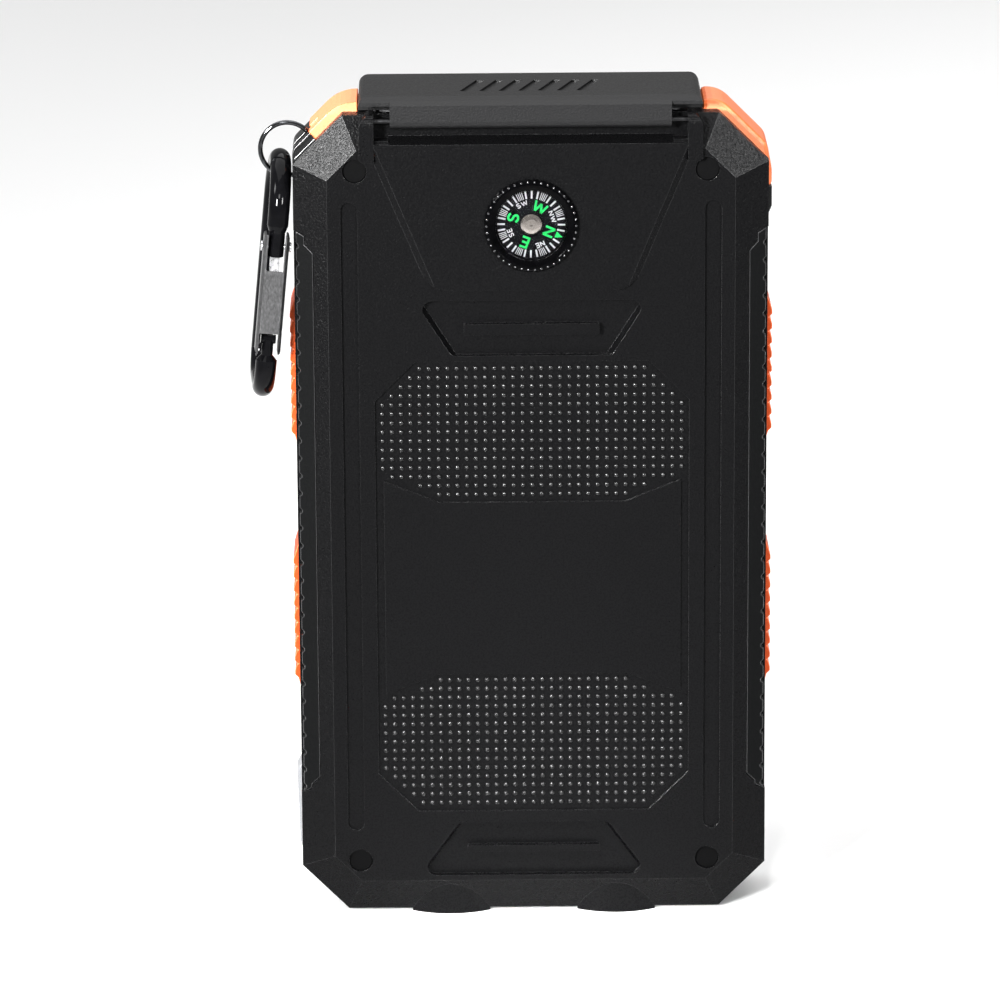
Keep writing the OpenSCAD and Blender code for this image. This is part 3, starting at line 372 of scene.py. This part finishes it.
NODE_MATERIAL = {
    "shell": ["rear_shell", "front_shell"],
    "frame": ["mid_frame", "compass_housing"],
    "grip": ["grip_insert_left", "grip_insert_right"],
    "cover": ["usb_cover"],
    "guard": ["corner_guard_left", "corner_guard_right"],
    "orange": ["side_block_upper_left", "side_block_upper_right", "side_block_lower_left",
               "side_block_lower_right"],
    "seal": ["shell_gasket", "port_seal"],
    "plug": ["screw_plugs"],
    "bezel": ["compass_bezel"],
    "lens": ["compass_lens"],
    "card": ["compass_card"],
    "cap": ["compass_cap"],
    "brass": ["compass_pivot"],
    "steel": ["shell_screws", "usb_shell_left", "usb_shell_right", "micro_usb_socket",
              "gate_spring"],
    "pin": ["hinge_pin"],
    "ring": ["key_ring"],
    "rivet": ["gate_rivet"],
    "gate": ["carabiner_gate"],
    "hook": ["carabiner_body"],
    "key": ["power_key"],
    "foil": ["battery_cell_rear", "battery_cell_front"],
    "foam": ["battery_foam"],
    "red": ["battery_leads", "panel_leads"],
    "grey": ["key_leads"],
    "board": ["main_board", "key_board"],
    "white": ["usb_tongues"],
    "chip": ["board_chips", "tact_switch"],
    "ferrite": ["inductor"],
    "ceramic": ["capacitors"],
    "led": ["charge_leds"],
    "pipe": ["light_pipes"],
    "substrate": ["solar_substrate"],
    "silicon": ["solar_cells"],
    "sheet": ["panel_cover"],
}

# Width, in millimetres, of the rounded edges on the nodes that show
EDGE = {
    "rear_shell": 0.16, "front_shell": 0.25, "mid_frame": 0.15, "usb_cover": 0.2,
    "corner_guard_left": 0.7, "corner_guard_right": 0.7, "grip_insert_left": 0.14,
    "grip_insert_right": 0.14, "side_block_upper_left": 0.25, "side_block_upper_right": 0.25,
    "side_block_lower_left": 0.25, "side_block_lower_right": 0.25, "screw_plugs": 0.1,
    "compass_bezel": 0.06, "power_key": 0.3, "carabiner_gate": 0.08, "gate_rivet": 0.1,
    "port_seal": 0.15, "compass_lens": 0.05, "light_pipes": 0.08,
}

# Materials whose rounded edges carry a painted highlight, a lighter material of their own
PAINTED_EDGE_HIGHLIGHT = {"shell": "black_edge_highlight", "frame": "black_edge_highlight", "grip": "black_edge_highlight",
             "cover": "black_edge_highlight", "orange": "orange_edge_highlight", "guard": "orange_edge_highlight"}

CREASE = 10.5  # degrees: curved faces turn by less from facet to facet, real edges by more
FLAT = 0.6  # degrees: triangles that turn by less are one face
WELD = 0.001 * MM


def soften(node, width):
    """Rounds a CAD node's edges: merge flat triangles, bevel what is sharp, even the shading."""
    weld = node.modifiers.new("weld", "WELD")
    weld.merge_threshold = WELD
    flat = node.modifiers.new("flat", "DECIMATE")
    flat.decimate_type = "DISSOLVE"
    flat.angle_limit = math.radians(FLAT)
    bevel = node.modifiers.new("bevel", "BEVEL")
    bevel.limit_method = "ANGLE"
    bevel.angle_limit = math.radians(CREASE)
    bevel.width = width * MM
    bevel.segments = 2
    bevel.use_clamp_overlap = True
    # the bevel faces take the second slot, the painted edge highlight
    if len(node.data.materials) > 1:
        bevel.material = 1
    even = node.modifiers.new("even", "WEIGHTED_NORMAL")
    even.keep_sharp = True


def dress_nodes(materials):
    """Gives every CAD node its material, and rounds the edges of those that show."""
    for key, names in NODE_MATERIAL.items():
        for name in names:
            node = NODES[name]
            node.data.materials.clear()
            node.data.materials.append(materials[key])
            # rounded edges get the painted edge highlight material
            if key in PAINTED_EDGE_HIGHLIGHT and name in EDGE:
                node.data.materials.append(materials[PAINTED_EDGE_HIGHLIGHT[key]])
            if name in EDGE:
                soften(node, EDGE[name])


# ------------------------------------------------------------------ mesh helpers


DOME_SIDES = 10
DOME_RINGS = 3


def piece_from(name, bm, material, body=ROOT, smooth=True):
    """Makes a visible piece of the finished bmesh, riding on a body."""
    mesh = bpy.data.meshes.new(name)
    bm.to_mesh(mesh)
    bm.free()
    for polygon in mesh.polygons:
        polygon.use_smooth = smooth
    piece = bpy.data.objects.new(name, mesh)
    bpy.context.scene.collection.objects.link(piece)
    piece.data.materials.append(material)
    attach(piece, body)
    return piece


def add_dome(bm, centre, radius, height, sunk):
    """A low dome facing -Y, its base sunk a little into the surface it stands on."""
    x, y, z = centre
    levels = []
    for j in range(DOME_RINGS):
        a = j / DOME_RINGS * math.pi / 2
        r, h = radius * math.cos(a), height * math.sin(a)
        ring = [bm.verts.new((x + r * math.cos(2 * math.pi * i / DOME_SIDES), y - h,
                              z + r * math.sin(2 * math.pi * i / DOME_SIDES)))
                for i in range(DOME_SIDES)]
        levels.append(ring)
    base = [bm.verts.new((v.co.x, y + sunk, v.co.z)) for v in levels[0]]
    levels.insert(0, base)
    top = bm.verts.new((x, y - height, z))
    bm.faces.new(base)
    for low, high in zip(levels, levels[1:]):
        for i in range(DOME_SIDES):
            k = (i + 1) % DOME_SIDES
            bm.faces.new((low[k], low[i], high[i], high[k]))
    last = levels[-1]
    for i in range(DOME_SIDES):
        bm.faces.new((last[(i + 1) % DOME_SIDES], last[i], top))


def prism(bm, outline, front, back):
    """A closed flat piece: its outline, in X and Z, carried from one Y plane to another."""
    near = [bm.verts.new((x, front, z)) for x, z in outline]
    far = [bm.verts.new((x, back, z)) for x, z in outline]
    bm.faces.new(near)
    bm.faces.new(far[::-1])
    for i in range(len(outline)):
        k = (i + 1) % len(outline)
        bm.faces.new((near[k], near[i], far[i], far[k]))


def ribbon(points, width):
    """Outline of a stroke of even width along the points, with mitred bends."""
    path = [Vector(p) for p in points]
    left, right = [], []
    for i, point in enumerate(path):
        before = (point - path[max(i - 1, 0)]).normalized()
        after = (path[min(i + 1, len(path) - 1)] - point).normalized()
        along = (before + after).normalized()
        reach = width / 2 / max(along.dot(after if i == 0 else before), 0.5)
        across = Vector((-along.y, along.x)) * reach
        left.append(tuple(point + across))
        right.append(tuple(point - across))
    return right + left[::-1]


# ------------------------------------------------------------------ compass print

PRINT_DEPTH = 0.03 * MM
TICK_INNER = 4.35 * MM
TICK_OUTER = 5.6 * MM
TICK_WIDTH = 0.29 * MM
FINE_TICK_WIDTH = 0.12 * MM
FINE_TICK_STEP = 3.3  # degrees
FINE_TICKS = (-1.5, -0.5, 0.5, 1.5)  # places in a block, in steps from its middle
TICKS = 32
BLOCK_EVERY = 4  # every fourth tick is a block of fine ones
NORTH = 336.5  # degrees, from +X towards +Z
POINTER_HALF_WIDTH = 0.55 * MM
LETTER_STROKE = 0.36 * MM
LETTER_HEIGHT = 1.65 * MM
LETTER_RADIUS = 3.18 * MM
SMALL_STROKE = 0.17 * MM
SMALL_HEIGHT = 0.72 * MM
SMALL_RADIUS = 3.7 * MM
LETTER_GAP = 1.9  # times the stroke
ARC_STEPS = 10


def arc(x, z, rx, rz, start, end):
    turn = (end - start) / ARC_STEPS
    angles = [math.radians(start + turn * i) for i in range(ARC_STEPS + 1)]
    return [(x + rx * math.cos(a), z + rz * math.sin(a)) for a in angles]


# Strokes of each letter in a box one unit wide and one unit high
LETTERS = {
    "N": [[(0, 0), (0, 1)], [(0, 1), (1, 0)], [(1, 0), (1, 1)]],
    "E": [[(1, 1), (0, 1), (0, 0), (1, 0)], [(0, 0.5), (0.85, 0.5)]],
    "W": [[(0, 1), (0.25, 0)], [(0.25, 0), (0.5, 0.9)], [(0.5, 0.9), (0.75, 0)],
          [(0.75, 0), (1, 1)]],
    "S": [arc(0.5, 0.75, 0.48, 0.25, 25, 270) + arc(0.5, 0.25, 0.48, 0.25, 90, -155)[1:]],
}
LETTER_WIDTH = {"N": 0.84, "E": 0.68, "W": 1.3, "S": 0.74}  # times the height


def polar(radius, degrees):
    return Vector((math.cos(math.radians(degrees)), math.sin(math.radians(degrees)))) * radius


def letter_outlines(text, height, stroke, radius, degrees):
    """Outlines of a word centred at a radius and angle on the card, its top outwards."""
    gap = LETTER_GAP * stroke
    widths = [LETTER_WIDTH[c] * height for c in text]
    outward = polar(1, degrees)
    rightward = Vector((outward.y, -outward.x))
    cursor = -(sum(widths) + gap * (len(text) - 1)) / 2
    outlines = []
    for c, width in zip(text, widths):
        for points in LETTERS[c]:
            placed = [polar(radius, degrees) + rightward * (cursor + u * width)
                      + outward * ((v - 0.5) * height) for u, v in points]
            outlines.append(ribbon(placed, stroke))
        cursor += width + gap
    return outlines


def tick_outline(degrees, width):
    return ribbon([polar(TICK_INNER, degrees), polar(TICK_OUTER, degrees)], width)


def dial_print(name, outlines, material):
    low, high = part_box("compass_card")
    centre = (low + high) / 2
    bm = bmesh.new()
    for outline in outlines:
        placed = [(centre.x + p[0], centre.z + p[1]) for p in outline]
        prism(bm, placed, low.y - PRINT_DEPTH, low.y + PRINT_DEPTH / 3)
    bmesh.ops.recalc_face_normals(bm, faces=bm.faces)
    piece = piece_from(name, bm, material, "compass_dial", smooth=False)


def compass_print(white, green):
    """White scale and small letters, green letters, and a green pointer at north."""
    whites, greens = [], []
    for step in range(TICKS):
        degrees = NORTH + 360 / TICKS * step
        if step % BLOCK_EVERY:
            whites.append(tick_outline(degrees, TICK_WIDTH))
        elif step:
            whites += [tick_outline(degrees + k * FINE_TICK_STEP, FINE_TICK_WIDTH)
                       for k in FINE_TICKS]
    foot, tip = polar(TICK_INNER, NORTH), polar(TICK_OUTER, NORTH)
    side = polar(1, NORTH + 90) * POINTER_HALF_WIDTH
    greens.append([tuple(tip), tuple(foot - side), tuple(foot + side)])
    for letter, degrees in (("N", NORTH), ("W", 63), ("S", 159), ("E", 249)):
        greens += letter_outlines(letter, LETTER_HEIGHT, LETTER_STROKE, LETTER_RADIUS, degrees)
    for word, degrees in (("NW", 20), ("SW", 114), ("SE", 202), ("NE", 293)):
        whites += letter_outlines(word, SMALL_HEIGHT, SMALL_STROKE, SMALL_RADIUS, degrees)
    dial_print("compass_scale_print", whites, white)
    dial_print("compass_letters_print", greens, green)


# ------------------------------------------------------------------ bezel knurl

KNURLS = 42
KNURL_IN = 0.42 * MM  # from the bezel's outer edge to the middle of the beads
KNURL_R = 0.2 * MM
KNURL_H = 0.13 * MM
KNURL_SUNK = 0.1 * MM


def bezel_knurl(material):
    """A row of small beads round the front edge of the bezel."""
    low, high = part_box("compass_bezel")
    centre = (low + high) / 2
    ring_r = (high.x - low.x) / 2 - KNURL_IN
    bm = bmesh.new()
    for i in range(KNURLS):
        spot = polar(ring_r, 360 * i / KNURLS)
        place = (centre.x + spot.x, low.y + KNURL_H, centre.z + spot.y)
        add_dome(bm, place, KNURL_R, KNURL_H, KNURL_SUNK)
    beads = piece_from("bezel_knurl", bm, material)


# ------------------------------------------------------------------ solar cell lines

CELL_COLUMNS = 2
CELL_ROWS = 6
CELL_GAP = 1.2 * MM
FINGER_PITCH = 2.0 * MM
FINGER_WIDTH = 0.12 * MM
BUSBAR_WIDTH = 1.2 * MM
BUSBAR_PLACES = (0.28, 0.72)  # shares of the cell's height
LINE_MARGIN = 0.4 * MM  # from a line's end to the cell's edge
LINE_DEPTH = 0.01 * MM


def box_outline(x0, z0, x1, z1):
    return [(x0, z0), (x1, z0), (x1, z1), (x0, z1)]


def cell_lines(material):
    """Silver collecting lines on each cell: thin fingers, and busbars across them."""
    low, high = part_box("solar_cells")
    width = (high.x - low.x - CELL_GAP * (CELL_COLUMNS - 1)) / CELL_COLUMNS
    height = (high.z - low.z - CELL_GAP * (CELL_ROWS - 1)) / CELL_ROWS
    bm = bmesh.new()
    for column in range(CELL_COLUMNS):
        x0 = low.x + column * (width + CELL_GAP)
        for row in range(CELL_ROWS):
            z0 = low.z + row * (height + CELL_GAP)
            fingers = int(width / FINGER_PITCH)
            for i in range(fingers):
                x = x0 + (i + 0.5) * width / fingers
                prism(bm, box_outline(x - FINGER_WIDTH / 2, z0 + LINE_MARGIN,
                                      x + FINGER_WIDTH / 2, z0 + height - LINE_MARGIN),
                      high.y - LINE_DEPTH, high.y + LINE_DEPTH / 2)
            for share in BUSBAR_PLACES:
                z = z0 + share * height
                prism(bm, box_outline(x0 + LINE_MARGIN, z - BUSBAR_WIDTH / 2,
                                      x0 + width - LINE_MARGIN, z + BUSBAR_WIDTH / 2),
                      high.y - LINE_DEPTH, high.y + LINE_DEPTH)
    bmesh.ops.recalc_face_normals(bm, faces=bm.faces)
    piece = piece_from("solar_cell_lines", bm, material, smooth=False)


# ------------------------------------------------------------------ grip dots

DOT_PITCH_X = 1.555 * MM
DOT_PITCH_UP = 1.55 * MM
DOT_R = 0.45 * MM
DOT_H = 0.32 * MM
DOT_SUNK = 0.05 * MM
DOT_HALF_COLUMNS = 16
UPPER_TOP_Z = 95.7 * MM
LOWER_TOP_Z = 41.6 * MM
# First column filled in each row, counted from the outer edge
UPPER_STARTS = [4, 3, 2, 1, 0, 0, 0, 0, 0, 0, 0, 0, 1, 4, 6]
LOWER_STARTS = [6, 4, 1, 0, 0, 0, 0, 0, 0, 0, 0, 1, 2, 3, 4]
RECESS_DEPTH = 0.5 * MM  # of the two dotted recesses


def grip_dots(material):
    """Rows of small domes on the floors of the two wide recesses."""
    floor_y = cad_rear_plane() + RECESS_DEPTH
    for name, top, starts in (("grip_dots_upper", UPPER_TOP_Z, UPPER_STARTS),
                              ("grip_dots_lower", LOWER_TOP_Z, LOWER_STARTS)):
        bm = bmesh.new()
        for row, start in enumerate(starts):
            for column in range(start, 2 * DOT_HALF_COLUMNS + 1 - start):
                x = (column - DOT_HALF_COLUMNS) * DOT_PITCH_X
                z = top - row * DOT_PITCH_UP
                add_dome(bm, (x, floor_y, z), DOT_R, DOT_H, DOT_SUNK)
        dots = piece_from(name, bm, material)


# ------------------------------------------------------------------ build

make_camera()
make_stage()
materials = make_materials()
dress_nodes(materials)
grip_dots(materials["dots"])
compass_print(materials["white_ink"], materials["green_ink"])
bezel_knurl(materials["knurl"])
cell_lines(materials["silver_ink"])

for name, settings in LIGHTS.items():
    area_light(name, *settings)
